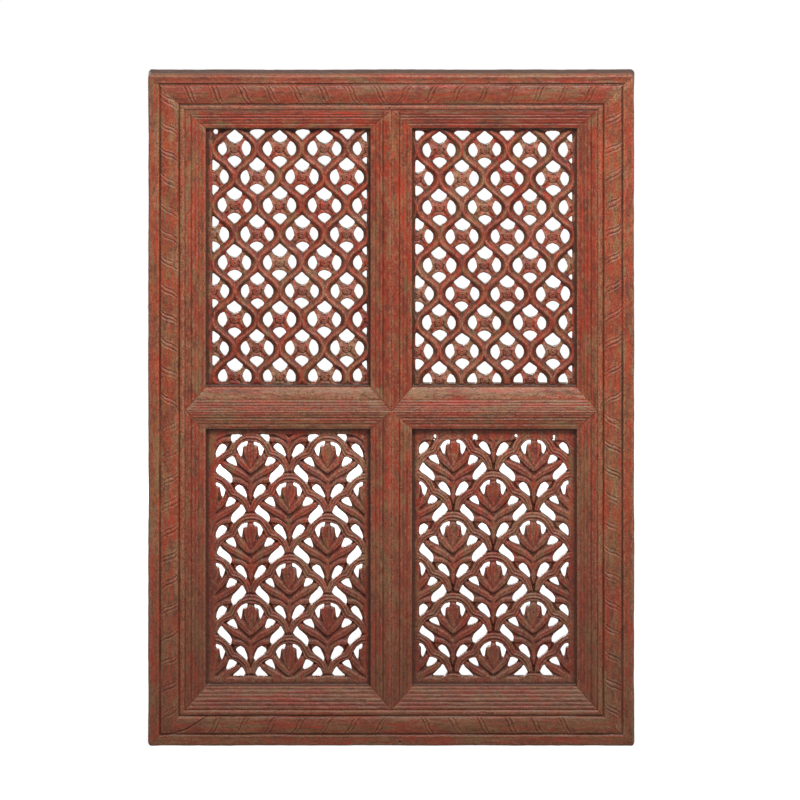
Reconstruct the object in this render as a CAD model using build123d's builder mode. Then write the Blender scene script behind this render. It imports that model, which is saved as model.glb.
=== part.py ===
"""Carved wooden jali screen: a pegged frame with four pierced panels held by mitred mouldings."""

import os
from math import ceil
from build123d import *

os.makedirs("parts", exist_ok=True)

# Millimetres. X runs right, Z up, and the carved face looks along -Y. The origin is the
# middle of the foot. Depths "t" are measured forward from the flat back, and distances "a"
# across a stile or rail from its outer edge inward.

# Overall size
SCREEN_W = 910
SCREEN_H = 1285
EDGE_T = 50
CROWN_T = 52
CORNER_R = 6
ARRIS = 2.5

# Stile and rail section, from the outer edge inward: plain band, carved band, round bead
PLAIN_W = 20
CARVED_W = 32.5
BEAD_W = 10.5
BEAD_BASE_T = 46.5
BEAD_RISE = 2.5
GROOVE_W = 3
GROOVE_D = 4.5

# Mitred moulding strips round each opening, stepping down in reeds to the panel
STRIP_WIDTHS = {"left": 39, "bottom": 42.5, "right": 39, "top": 37.5}
REED_EDGES = (0, 0.29, 0.56, 0.81, 1)
REED_BASE_T = 44.5
REED_STEP = 3.5
REED_RISE = 1.3

# Jali panels and the rebates they sit in. At the border of its openwork a panel keeps each
# opening of which a slot is left.
PANEL_T = 19
PANEL_GAP = 0.5
MIN_SLOT = 6
LIP_T = 5
LIP_W = 10

# Mullion and cross rail
BAR_HALF_W = 39
CROSS_Z = 641
TENON_T = 10
TENON_BACK = 7
TENON_W = 32
TENON_L = 30
CROSS_TENON_L = 22

# Hidden tenons behind the mitred corners of the frame
CORNER_TENON_T = 18
CORNER_TENON_BACK = 14
CORNER_TENON_A = 26
CORNER_TENON_W = 40
CORNER_TENON_STOP = 20

# Fit of the joints, and their pegs
MORTISE_GAP = 0.3
MORTISE_END_GAP = 1
PEG_D = 8
PEG_FACETS = 8
PEG_GAP = 0.1
PEG_BITE = 3
PEG_SETBACK = 14
CROSS_PEG_SETBACK = 11
CORNER_PEG_X = 38
CORNER_PEG_Z = 54

# Flower cell of the upper panels, (across, down) from the flower's centre. An ogee cell has
# an opening above, below and on both sides of its four-petal flower.
FLOWER_CELL = (84.3, 54.8)
FLOWER_TOP = [(0, -35.5), (13, -23.5), (6, -13)]
FLOWER_BOTTOM = [(7, 15.5), (13.2, 22), (0, 37)]
FLOWER_SIDE = [(20.5, -14.5), (29.5, -7.5), (30, 7.5), (20.5, 15.5), (13, 1.5)]

# Palmette cell of the lower panels, (across, down) from the arch's apex, right side only.
# The openings lie beside the bud, above and below the lower leaf, and beside the stem.
PALMETTE_CELL = (147, 77.4)
PALMETTE_BUD = [(6.5, 12.5), (17.5, 17), (24.5, 27.5), (19, 46.5), (11, 28.5)]
PALMETTE_UPPER = [(34, 42), (46.5, 46), (41.5, 57.5), (27, 61.5)]
PALMETTE_LOWER = [(57, 52.5), (63.5, 73), (37.5, 93), (36, 81), (47, 65)]
PALMETTE_STEM = [(22.5, 88), (28, 103), (6, 123.5), (8.5, 106), (14.5, 95.5)]

# Values that follow from the sizes above
BACK_Y = CROWN_T / 2
SIDE_X = SCREEN_W / 2
LEDGE_T = LIP_T + PANEL_T
CARVED_A = PLAIN_W + GROOVE_W
ROUND_A = CARVED_A + CARVED_W + GROOVE_W
STRIP_A = ROUND_A + BEAD_W
MEMBER_W = STRIP_A + BAR_HALF_W
REBATE_A = MEMBER_W - LIP_W
BAR_CORE = BAR_HALF_W - LIP_W
PEG_HOLE_T = TENON_BACK + TENON_T + PEG_BITE
CORNER_PEG_HOLE_T = CORNER_TENON_BACK + CORNER_TENON_T + PEG_BITE
FRONT = Vector(0, -1, 0)
SCREEN_RECT = (-SIDE_X, SIDE_X, 0, SCREEN_H)


def mirrored(points):
    """The same points on the other side of a cell's centre line."""
    return [(-across, down) for across, down in points]


def closed_half(points):
    """A whole outline from its right half, which may have points on the centre line."""
    return points + [point for point in mirrored(points)[::-1] if point[0]]


def both_sides(outlines):
    """Each outline, and its mirror image."""
    return outlines + [mirrored(points) for points in outlines]


FLOWER = [closed_half(FLOWER_TOP), closed_half(FLOWER_BOTTOM)] + both_sides([FLOWER_SIDE])
PALMETTE = both_sides([PALMETTE_BUD, PALMETTE_UPPER, PALMETTE_LOWER, PALMETTE_STEM])

# Each panel was carved by hand to its own spacing. "pitch" is its cell width and row height,
# "first" its first cell from the top left corner of the opening, and "margin" the plain
# border left, right, above and below the openwork.
PANELS = {
    "upper_left": dict(
        openings=FLOWER, cell=FLOWER_CELL, pitch=(84, 54.5), first=(54, 42),
        margin=(12.5, 6.5, 5, 6.5),
    ),
    "upper_right": dict(
        openings=FLOWER, cell=FLOWER_CELL, pitch=(84.7, 55.1), first=(51, 44.5),
        margin=(6, 8.5, 8, 3.5),
    ),
    "lower_left": dict(
        openings=PALMETTE, cell=PALMETTE_CELL, pitch=(144, 77.5), first=(84, 15),
        margin=(19, 11, 10.5, 16),
    ),
    "lower_right": dict(
        openings=PALMETTE, cell=PALMETTE_CELL, pitch=(150, 77.4), first=(77, 11.5),
        margin=(13.5, 15.5, 22, 16),
    ),
}

# Outer lines of the moulding strips round each opening: left, right, bottom, top
STRIP_RECTS = {
    "upper_left": (STRIP_A - SIDE_X, 0, CROSS_Z, SCREEN_H - STRIP_A),
    "upper_right": (0, SIDE_X - STRIP_A, CROSS_Z, SCREEN_H - STRIP_A),
    "lower_left": (STRIP_A - SIDE_X, 0, STRIP_A, CROSS_Z),
    "lower_right": (0, SIDE_X - STRIP_A, STRIP_A, CROSS_Z),
}

# The four sides in order round a rectangle, with the direction inward from each
INWARD = {
    "left": Vector(1, 0, 0),
    "bottom": Vector(0, 0, 1),
    "right": Vector(-1, 0, 0),
    "top": Vector(0, 0, -1),
}
SIDES = list(INWARD)


def block(x, z, t, mode=Mode.ADD):
    """Add or cut a block between two values each of x, z and depth t."""
    with Locations((sum(x) / 2, BACK_Y - sum(t) / 2, sum(z) / 2)):
        Box(abs(x[1] - x[0]), abs(t[1] - t[0]), abs(z[1] - z[0]), mode=mode)


def peg(x, z, depth, gap=0, mode=Mode.ADD):
    """Add a faceted peg driven in from the back, or cut its hole with a gap round it."""
    with BuildSketch(Plane(origin=(x, BACK_Y, z), x_dir=(1, 0, 0), z_dir=FRONT)) as section:
        RegularPolygon(PEG_D / 2 + gap, PEG_FACETS, major_radius=False, rotation=180 / PEG_FACETS)
    extrude(section.sketch, amount=depth, mode=mode)


def side_plane(side, rect):
    """Plane at the start of one side: x points inward, y forward, and z along the side."""
    left, right, bottom, top = rect
    starts = {"left": (left, top), "bottom": (left, bottom), "right": (right, bottom), "top": (right, top)}
    x, z = starts[side]
    return Plane(origin=(x, BACK_Y, z), x_dir=INWARD[side], z_dir=INWARD[side].cross(FRONT))


def side_length(side, rect):
    """Length of one side of a rectangle."""
    left, right, bottom, top = rect
    return top - bottom if side in ("left", "right") else right - left


def cut_mitres(side, rect, width, start_run, end_run):
    """Trim the part to the trapezoid between the mitres at the two ends of a side."""
    section = side_plane(side, rect)
    length = side_length(side, rect)
    with BuildSketch(Plane(origin=section.origin, x_dir=section.z_dir, z_dir=FRONT)) as plan:
        with BuildLine():
            Polyline((0, 0), (length, 0), (length - end_run, width), (start_run, width), close=True)
        make_face()
    extrude(plan.sketch, amount=CROWN_T, mode=Mode.INTERSECT)


def frame_member(side):
    """A stile or rail of the outer frame, mitred and with the screen's rounded corners."""
    with BuildSketch(side_plane(side, SCREEN_RECT)) as section:
        with BuildLine():
            Polyline(
                (0, 0), (0, EDGE_T - ARRIS), (ARRIS, EDGE_T), (PLAIN_W, EDGE_T),
                (PLAIN_W + GROOVE_W / 2, EDGE_T - GROOVE_D), (CARVED_A, EDGE_T),
            )
            ThreePointArc(
                (CARVED_A, EDGE_T), (CARVED_A + CARVED_W / 2, CROWN_T), (CARVED_A + CARVED_W, EDGE_T)
            )
            Polyline(
                (CARVED_A + CARVED_W, EDGE_T), (ROUND_A - GROOVE_W / 2, EDGE_T - GROOVE_D),
                (ROUND_A, BEAD_BASE_T),
            )
            ThreePointArc(
                (ROUND_A, BEAD_BASE_T), (ROUND_A + BEAD_W / 2, BEAD_BASE_T + BEAD_RISE),
                (STRIP_A, BEAD_BASE_T),
            )
            Polyline(
                (STRIP_A, BEAD_BASE_T), (STRIP_A, LEDGE_T), (REBATE_A, LEDGE_T), (REBATE_A, LIP_T),
                (MEMBER_W, LIP_T), (MEMBER_W, 0), (0, 0),
            )
        make_face()
    extrude(section.sketch, amount=side_length(side, SCREEN_RECT))
    cut_mitres(side, SCREEN_RECT, MEMBER_W, MEMBER_W, MEMBER_W)
    with BuildSketch(Plane(origin=(0, BACK_Y, SCREEN_H / 2), x_dir=(1, 0, 0), z_dir=FRONT)) as face:
        RectangleRounded(SCREEN_W, SCREEN_H, CORNER_R)
    extrude(face.sketch, amount=CROWN_T, mode=Mode.INTERSECT)


def corner_joint(x_sign, at_top, gap=0, end_gap=0, mode=Mode.ADD):
    """Add the hidden tenon of a rail at one corner, or cut its mortise with the gaps."""
    near, far = CORNER_TENON_A - gap, CORNER_TENON_A + CORNER_TENON_W + gap
    z = (SCREEN_H - near, SCREEN_H - far) if at_top else (near, far)
    x = (x_sign * (SIDE_X - CORNER_TENON_STOP + end_gap), x_sign * (SIDE_X - MEMBER_W))
    t = (CORNER_TENON_BACK - gap, CORNER_TENON_BACK + CORNER_TENON_T + gap)
    block(x, z, t, mode)


def corner_peg(x_sign, at_top, gap=0, mode=Mode.ADD):
    """Add the peg through one corner joint, or cut its hole."""
    z = SCREEN_H - CORNER_PEG_Z if at_top else CORNER_PEG_Z
    peg(x_sign * (SIDE_X - CORNER_PEG_X), z, CORNER_PEG_HOLE_T, gap, mode)


def reeded_section(plane, width):
    """Section of a moulding strip: a bead and three reeds stepping down to the panel."""
    with BuildSketch(plane) as section:
        with BuildLine():
            Line((0, LEDGE_T), (0, REED_BASE_T))
            base = REED_BASE_T
            for start, end in zip(REED_EDGES, REED_EDGES[1:]):
                middle = (start + end) / 2
                ThreePointArc(
                    (start * width, base), (middle * width, base + REED_RISE), (end * width, base)
                )
                drop = LEDGE_T if end == REED_EDGES[-1] else base - REED_STEP
                Line((end * width, base), (end * width, drop))
                base = drop
            Line((width, LEDGE_T), (0, LEDGE_T))
        make_face()
    return section.sketch


def openwork(openings, cell, pitch, first, margin, width, height):
    """Outlines of a panel's openings, (x, z) from the top left corner of its frame opening."""
    left, right, above, below = margin
    outlines = []
    for row in range(-1, ceil((height - first[1]) / pitch[1]) + 1):
        for column in range(-2, ceil((width - first[0]) / pitch[0]) + 1):
            cell_x = first[0] + (column + row % 2 / 2) * pitch[0]
            cell_z = first[1] + row * pitch[1]
            for outline in openings:
                points = [
                    (cell_x + across * pitch[0] / cell[0], -cell_z - down * pitch[1] / cell[1])
                    for across, down in outline
                ]
                across, down = [x for x, z in points], [-z for x, z in points]
                slot_w = min(max(across), width - right) - max(min(across), left)
                slot_h = min(max(down), height - below) - max(min(down), above)
                if min(slot_w, slot_h) > MIN_SLOT:
                    outlines.append(points)
    return outlines


# ---------------------------------------------------------------- outer frame
for side in ("left", "right"):
    x_sign = 1 if side == "right" else -1
    with BuildPart() as stile:
        frame_member(side)
        for at_top in (False, True):
            corner_joint(x_sign, at_top, MORTISE_GAP, MORTISE_END_GAP, Mode.SUBTRACT)
            corner_peg(x_sign, at_top, PEG_GAP, Mode.SUBTRACT)
        # Mortise, shoulder notch and peg hole of the cross rail
        shoulder_x = SIDE_X - REBATE_A
        block(
            (x_sign * shoulder_x, x_sign * (shoulder_x + TENON_L + MORTISE_END_GAP)),
            (CROSS_Z - TENON_W / 2 - MORTISE_GAP, CROSS_Z + TENON_W / 2 + MORTISE_GAP),
            (TENON_BACK - MORTISE_GAP, TENON_BACK + TENON_T + MORTISE_GAP),
            Mode.SUBTRACT,
        )
        block(
            (x_sign * (SIDE_X - MEMBER_W), x_sign * shoulder_x),
            (CROSS_Z - BAR_CORE, CROSS_Z + BAR_CORE), (0, LIP_T), Mode.SUBTRACT,
        )
        peg(x_sign * (shoulder_x + PEG_SETBACK), CROSS_Z, PEG_HOLE_T, PEG_GAP, Mode.SUBTRACT)
    stile.part.label = f"stile_{side}"
    export_step(stile.part, f"parts/stile_{side}.step")

for side in ("bottom", "top"):
    at_top = side == "top"
    with BuildPart() as rail:
        frame_member(side)
        for x_sign in (-1, 1):
            corner_joint(x_sign, at_top)
            corner_peg(x_sign, at_top, PEG_GAP, Mode.SUBTRACT)
        # Mortise, shoulder notch and peg hole of the mullion, from the rail's outer edge inward
        from_edge = [REBATE_A - TENON_L - MORTISE_END_GAP, REBATE_A, MEMBER_W, REBATE_A - PEG_SETBACK]
        end_z, shoulder_z, lip_z, peg_z = [SCREEN_H - a if at_top else a for a in from_edge]
        block(
            (-TENON_W / 2 - MORTISE_GAP, TENON_W / 2 + MORTISE_GAP), (end_z, shoulder_z),
            (TENON_BACK - MORTISE_GAP, TENON_BACK + TENON_T + MORTISE_GAP), Mode.SUBTRACT,
        )
        block((-BAR_CORE, BAR_CORE), (shoulder_z, lip_z), (0, LIP_T), Mode.SUBTRACT)
        peg(0, peg_z, PEG_HOLE_T, PEG_GAP, Mode.SUBTRACT)
    rail.part.label = f"{side}_rail"
    export_step(rail.part, f"parts/{side}_rail.step")

# ---------------------------------------------------------------- mullion and cross rail
with BuildPart() as mullion:
    block((-BAR_CORE, BAR_CORE), (REBATE_A, SCREEN_H - REBATE_A), (0, LEDGE_T))
    block((-BAR_HALF_W, BAR_HALF_W), (MEMBER_W, SCREEN_H - MEMBER_W), (0, LIP_T))
    block(
        (-TENON_W / 2, TENON_W / 2), (REBATE_A - TENON_L, SCREEN_H - REBATE_A + TENON_L),
        (TENON_BACK, TENON_BACK + TENON_T),
    )
    for x_sign in (-1, 1):
        block(
            (x_sign * BAR_CORE, x_sign * BAR_HALF_W), (CROSS_Z - BAR_CORE, CROSS_Z + BAR_CORE),
            (0, LIP_T), Mode.SUBTRACT,
        )
        block(
            (x_sign * (BAR_CORE - CROSS_TENON_L - MORTISE_END_GAP), x_sign * BAR_CORE),
            (CROSS_Z - TENON_W / 2 - MORTISE_GAP, CROSS_Z + TENON_W / 2 + MORTISE_GAP),
            (TENON_BACK - MORTISE_GAP, TENON_BACK + TENON_T + MORTISE_GAP), Mode.SUBTRACT,
        )
        peg(x_sign * (BAR_CORE - CROSS_PEG_SETBACK), CROSS_Z, PEG_HOLE_T, PEG_GAP, Mode.SUBTRACT)
    for peg_z in (REBATE_A - PEG_SETBACK, SCREEN_H - REBATE_A + PEG_SETBACK):
        peg(0, peg_z, PEG_HOLE_T, PEG_GAP, Mode.SUBTRACT)
mullion.part.label = "mullion"
export_step(mullion.part, "parts/mullion.step")

for side in ("left", "right"):
    x_sign = 1 if side == "right" else -1
    with BuildPart() as cross_rail:
        block(
            (x_sign * BAR_CORE, x_sign * (SIDE_X - REBATE_A)),
            (CROSS_Z - BAR_CORE, CROSS_Z + BAR_CORE), (0, LEDGE_T),
        )
        block(
            (x_sign * BAR_HALF_W, x_sign * (SIDE_X - MEMBER_W)),
            (CROSS_Z - BAR_HALF_W, CROSS_Z + BAR_HALF_W), (0, LIP_T),
        )
        block(
            (x_sign * (BAR_CORE - CROSS_TENON_L), x_sign * (SIDE_X - REBATE_A + TENON_L)),
            (CROSS_Z - TENON_W / 2, CROSS_Z + TENON_W / 2), (TENON_BACK, TENON_BACK + TENON_T),
        )
        for peg_x in (BAR_CORE - CROSS_PEG_SETBACK, SIDE_X - REBATE_A + PEG_SETBACK):
            peg(x_sign * peg_x, CROSS_Z, PEG_HOLE_T, PEG_GAP, Mode.SUBTRACT)
    cross_rail.part.label = f"cross_rail_{side}"
    export_step(cross_rail.part, f"parts/cross_rail_{side}.step")

# ---------------------------------------------------------------- pegs, driven from the back
with BuildPart() as corner_pegs:
    for x_sign in (-1, 1):
        for at_top in (False, True):
            corner_peg(x_sign, at_top)
corner_pegs.part.label = "corner_pegs"
export_step(corner_pegs.part, "parts/corner_pegs.step")

with BuildPart() as mullion_pegs:
    for peg_z in (REBATE_A - PEG_SETBACK, SCREEN_H - REBATE_A + PEG_SETBACK):
        peg(0, peg_z, PEG_HOLE_T)
mullion_pegs.part.label = "mullion_pegs"
export_step(mullion_pegs.part, "parts/mullion_pegs.step")

with BuildPart() as cross_rail_pegs:
    for x_sign in (-1, 1):
        for peg_x in (BAR_CORE - CROSS_PEG_SETBACK, SIDE_X - REBATE_A + PEG_SETBACK):
            peg(x_sign * peg_x, CROSS_Z, PEG_HOLE_T)
cross_rail_pegs.part.label = "cross_rail_pegs"
export_step(cross_rail_pegs.part, "parts/cross_rail_pegs.step")

# ---------------------------------------------------------------- panels and their mouldings
for place, rect in STRIP_RECTS.items():
    left, right, bottom, top = rect
    open_left, open_top = left + STRIP_WIDTHS["left"], top - STRIP_WIDTHS["top"]
    open_w = right - STRIP_WIDTHS["right"] - open_left
    open_h = open_top - bottom - STRIP_WIDTHS["bottom"]
    margin_left, margin_right, margin_top, margin_bottom = PANELS[place]["margin"]

    # The openings, cut straight where they meet the plain border
    with BuildSketch() as pierced:
        add([Face(Wire.make_polygon(points)) for points in openwork(**PANELS[place], width=open_w, height=open_h)])
        with Locations(((open_w + margin_left - margin_right) / 2, (margin_bottom - margin_top - open_h) / 2)):
            Rectangle(
                open_w - margin_left - margin_right, open_h - margin_top - margin_bottom,
                mode=Mode.INTERSECT,
            )

    # The board reaches into the rebates on all four sides
    reach = BAR_HALF_W - BAR_CORE - PANEL_GAP
    with BuildPart() as jali:
        with BuildSketch(Plane(origin=(open_left, BACK_Y - LIP_T, open_top), x_dir=(1, 0, 0), z_dir=FRONT)):
            with Locations(((left + right) / 2 - open_left, (bottom + top) / 2 - open_top)):
                Rectangle(
                    right - left - 2 * (BAR_HALF_W - reach), top - bottom - 2 * (BAR_HALF_W - reach)
                )
            add(pierced.sketch, mode=Mode.SUBTRACT)
        extrude(amount=PANEL_T)
    jali.part.label = f"jali_{place}"
    export_step(jali.part, f"parts/jali_{place}.step")

    for index, side in enumerate(SIDES):
        width = STRIP_WIDTHS[side]
        before, after = SIDES[index - 1], SIDES[(index + 1) % len(SIDES)]
        with BuildPart() as moulding:
            extrude(reeded_section(side_plane(side, rect), width), amount=side_length(side, rect))
            cut_mitres(side, rect, width, STRIP_WIDTHS[before], STRIP_WIDTHS[after])
        moulding.part.label = f"moulding_{place}_{side}"
        export_step(moulding.part, f"parts/moulding_{place}_{side}.step")
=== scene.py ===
"""Looks of the carved jali screen: hand-carved frame, mouldings and pierced panels in worn paint."""

import math

import bpy
import numpy as np
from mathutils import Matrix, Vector
from mathutils.geometry import delaunay_2d_cdt


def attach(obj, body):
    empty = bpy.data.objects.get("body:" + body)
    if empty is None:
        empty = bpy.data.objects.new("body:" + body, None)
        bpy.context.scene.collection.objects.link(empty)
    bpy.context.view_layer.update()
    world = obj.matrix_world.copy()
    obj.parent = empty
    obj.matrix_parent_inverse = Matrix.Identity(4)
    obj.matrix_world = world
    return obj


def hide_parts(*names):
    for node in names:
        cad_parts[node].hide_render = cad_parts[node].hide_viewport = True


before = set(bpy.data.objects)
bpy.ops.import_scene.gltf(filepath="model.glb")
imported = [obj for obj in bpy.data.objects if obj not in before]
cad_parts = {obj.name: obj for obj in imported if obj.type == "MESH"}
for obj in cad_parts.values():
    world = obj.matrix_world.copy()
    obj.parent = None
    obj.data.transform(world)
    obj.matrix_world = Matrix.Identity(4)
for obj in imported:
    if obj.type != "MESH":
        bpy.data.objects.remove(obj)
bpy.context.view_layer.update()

# Sizes are in millimetres until make_piece. t is the height of a point above the screen's
# flat back, a the distance inward from the outer edge of a member, s the distance along it.
MM = 0.001
SCREEN_W, SCREEN_H, SCREEN_T = 910, 1285, 52
BACK_Y = SCREEN_T / 2
HALF_W = SCREEN_W / 2
BACK_T = 0.4
MITRE_GAP = 0.05
# The screen's corners are worn rounder than the CAD has them
CORNER_R = 9

# Frame member section: the groove outside the carved band, the band and the bead
EDGE_T = 50
GROOVE_A = {"left": 22.2, "bottom": 22.8, "right": 22.6, "top": 19.2}
CARVED_END = 55.5
GROOVE_IN = 57.3
BEAD = (58.8, 69.6)
LEDGE_T, REBATE_A, LIP_T, MEMBER_W = 24, 98, 5, 108

# Paint left on single pieces, where it differs from the rest
TONES = {
    "top_rail": -0.7, "stile_left": 0.3, "stile_right": 0.25, "bottom_rail": 0.3,
    "jali_upper_left": -0.1, "jali_upper_right": -0.1,
    "jali_lower_left": 0.1, "jali_lower_right": 0.05,
    "moulding_upper_left_bottom": -0.3, "moulding_upper_right_bottom": -0.2,
    "moulding_upper_right_right": -0.3, "moulding_upper_right_top": -0.8,
    "moulding_lower_left_bottom": 0.3, "moulding_lower_right_bottom": 0.2,
    "moulding_lower_left_top": -0.25, "moulding_lower_right_top": -0.3,
}

# Dusty bare patches: how much, where across the piece they begin, and how far they close up.
# Less than none is a piece that has kept its paint clean and dark.
DUSTY = {
    "top_rail": (-0.5, -1, 0.7), "bottom_rail": (0.5, -1, 0.1),
    "stile_left": (0.5, -1, 0.1), "stile_right": (0.5, -1, 0.1),
    "moulding_upper_left_top": (-0.4, -1, 2), "moulding_upper_right_top": (-0.8, -1, 2),
    "moulding_upper_left_right": (-0.3, -1, 1), "moulding_upper_right_left": (-0.3, -1, 1),
    "moulding_upper_right_right": (-0.3, -1, 1),
    "moulding_upper_left_bottom": (1.0, 0.35, 1.1), "moulding_upper_right_bottom": (0.9, 0.35, 1.0),
    "moulding_lower_left_bottom": (0.4, 0.3, 0.8), "moulding_lower_right_bottom": (0.3, 0.3, 0.8),
}

# Mouldings and openings
CROSS_Z = 641
STRIP_A = 69
STRIP_W = {"left": 39, "bottom": 42.5, "right": 39, "top": 37.5}
STRIP_T = (45, 34)
# Grooves between the reeds of each kind of moulding: place across its width, and depth. The
# sills below the upper panels are smooth on the side of the panel.
REEDS = {
    "outer": ((0.31, 1.6), (0.5, 0.4), (0.66, 0.6), (0.83, 0.4)),
    "centre": ((0.4, 1.6), (0.58, 0.4), (0.76, 0.7)),
    "top": ((0.12, 0.5), (0.26, 0.8), (0.41, 1.8), (0.57, 0.3), (0.74, 0.9)),
    "bottom": ((0.18, 0.8), (0.35, 1.4), (0.53, 0.4), (0.69, 0.7), (0.87, 0.6)),
    "sill": ((0.1, 0.6), (0.21, 0.8), (0.33, 0.9), (0.45, 0.6)),
}
# From the outer lines of a panel's mouldings to the edge of its board
REBATE = 29.5

SIDES = ("left", "bottom", "right", "top")
# How far each moulding's two ends run back at its mitres
MITRES = {side: (STRIP_W[SIDES[k - 1]], STRIP_W[SIDES[(k + 1) % 4]]) for k, side in enumerate(SIDES)}
RECTS = {
    "upper_left": (STRIP_A - HALF_W, 0, CROSS_Z, SCREEN_H - STRIP_A),
    "upper_right": (0, HALF_W - STRIP_A, CROSS_Z, SCREEN_H - STRIP_A),
    "lower_left": (STRIP_A - HALF_W, 0, STRIP_A, CROSS_Z),
    "lower_right": (0, HALF_W - STRIP_A, STRIP_A, CROSS_Z),
}


# ------------------------------------------------------------------ numbers and fields
def noise(x, y, size, seed):
    """Smooth random field between -1 and 1, with waves of about the given size."""
    table = np.random.default_rng(seed).uniform(-1, 1, (128, 128))
    u, v = np.asarray(x, float) / size + 37.2, np.asarray(y, float) / size + 71.9
    i, j = np.floor(u).astype(int), np.floor(v).astype(int)
    fu, fv = u - i, v - j
    fu, fv = fu * fu * (3 - 2 * fu), fv * fv * (3 - 2 * fv)
    i, j = i % 127, j % 127
    low = table[i, j] * (1 - fu) + table[i + 1, j] * fu
    high = table[i, j + 1] * (1 - fu) + table[i + 1, j + 1] * fu
    return low * (1 - fv) + high * fv


def smooth(edge0, edge1, value):
    """Smooth step from 0 to 1."""
    x = np.clip((value - edge0) / (edge1 - edge0), 0, 1)
    return x * x * (3 - 2 * x)


def hump(value, centre, width):
    """Bell curve of height 1."""
    return np.exp(-(((value - centre) / width) ** 2))


def blur(field, times):
    """Soften a field with a small kernel, a number of times."""
    for _ in range(times):
        padded = np.pad(field, 1, mode="edge")
        field = (padded[:-2] + 2 * padded[1:-1] + padded[2:]) / 4
        field = (field[:, :-2] + 2 * field[:, 1:-1] + field[:, 2:]) / 4
    return field


def rounded(points, rounds=2):
    """An open line through the points with its corners cut smooth."""
    line = np.array(points, float)
    for _ in range(rounds):
        a, b = line[:-1], line[1:]
        cut = np.empty((2 * len(a), line.shape[1]))
        cut[0::2], cut[1::2] = 0.75 * a + 0.25 * b, 0.25 * a + 0.75 * b
        line = np.vstack([line[:1], cut, line[-1:]])
    return line


def stroke(x, y, points):
    """Place of each point beside a line of (x, y, half width): across, -1..1, and along, 0..1."""
    line = rounded(points)
    best = np.full(x.shape, 1e9)
    across, along = np.zeros(x.shape), np.zeros(x.shape)
    for k in range(len(line) - 1):
        (ax, ay, aw), (bx, by, bw) = line[k], line[k + 1]
        dx, dy = bx - ax, by - ay
        length2 = dx * dx + dy * dy
        u = np.clip(((x - ax) * dx + (y - ay) * dy) / length2, 0, 1)
        ex, ey = x - ax - u * dx, y - ay - u * dy
        q = np.hypot(ex, ey) / (aw + u * (bw - aw))
        nearer = q < best
        side = np.sign(dx * ey - dy * ex)
        best = np.where(nearer, q, best)
        across = np.where(nearer, side * q, across)
        along = np.where(nearer, (k + u) / (len(line) - 1), along)
    return across, along


def inside(x, y, polygon):
    """Signed distance to a closed outline, negative inside."""
    points = np.array(polygon, float)
    best = np.full(x.shape, 1e9)
    odd = np.zeros(x.shape, bool)
    for (ax, ay), (bx, by) in zip(points, np.roll(points, -1, 0)):
        dx, dy = bx - ax, by - ay
        u = np.clip(((x - ax) * dx + (y - ay) * dy) / (dx * dx + dy * dy), 0, 1)
        best = np.minimum(best, np.hypot(x - ax - u * dx, y - ay - u * dy))
        if ay != by:
            odd ^= ((ay > y) != (by > y)) & (x < ax + (y - ay) * dx / dy)
    return np.where(odd, -best, best)


# ------------------------------------------------------------------ meshes
def make_piece(name, points, polygons, fields, node, material):
    """Build a mesh piece from millimetre points, and let it stand for its CAD node."""
    mesh = bpy.data.meshes.new(name)
    mesh.vertices.add(len(points))
    mesh.vertices.foreach_set("co", (points * MM).astype(np.float32).ravel())
    loops = np.concatenate([p.ravel() for p in polygons]).astype(np.int32)
    sizes = np.concatenate([np.full(len(p), p.shape[1]) for p in polygons])
    mesh.loops.add(len(loops))
    mesh.loops.foreach_set("vertex_index", loops)
    mesh.polygons.add(len(sizes))
    mesh.polygons.foreach_set("loop_start", (np.cumsum(sizes) - sizes).astype(np.int32))
    mesh.polygons.foreach_set("use_smooth", np.ones(len(sizes), bool))
    mesh.update(calc_edges=True)
    mesh.validate()
    for key, values in fields.items():
        vector = values.ndim == 2
        layer = mesh.attributes.new(key, "FLOAT_VECTOR" if vector else "FLOAT", "POINT")
        layer.data.foreach_set("vector" if vector else "value", values.astype(np.float32).ravel())
    mesh.materials.append(material)
    piece = bpy.data.objects.new(name, mesh)
    bpy.context.scene.collection.objects.link(piece)
    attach(piece, "root")
    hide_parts(node)


def side_frame(side, rect):
    """Start point, inward and along directions (x, z), and length of one side of a rectangle."""
    left, right, bottom, top = rect
    start = {"left": (left, top), "bottom": (left, bottom), "right": (right, bottom), "top": (right, top)}
    inward = {"left": (1, 0), "bottom": (0, 1), "right": (-1, 0), "top": (0, -1)}
    along = {"left": (0, -1), "bottom": (1, 0), "right": (0, 1), "top": (-1, 0)}
    length = top - bottom if side in ("left", "right") else right - left
    return np.array(start[side], float), np.array(inward[side]), np.array(along[side]), length


def round_corners(x, z, rect, radius):
    """Move the points outside the screen's rounded corners in to them."""
    left, right, bottom, top = rect
    cx = np.clip(x, left + radius, right - radius)
    cz = np.clip(z, bottom + radius, top - radius)
    far = np.hypot(x - cx, z - cz)
    pull = np.where(far > radius, radius / np.maximum(far, 1e-6), 1)
    return cx + (x - cx) * pull, cz + (z - cz) * pull


def height_tone(z, node, seed):
    """How much of the paint is left: less towards the foot, and a little different on each piece."""
    own = TONES.get(node, np.random.default_rng(seed).uniform(-0.18, 0.12))
    return 0.9 * (z / SCREEN_H - 0.5) + own


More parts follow.
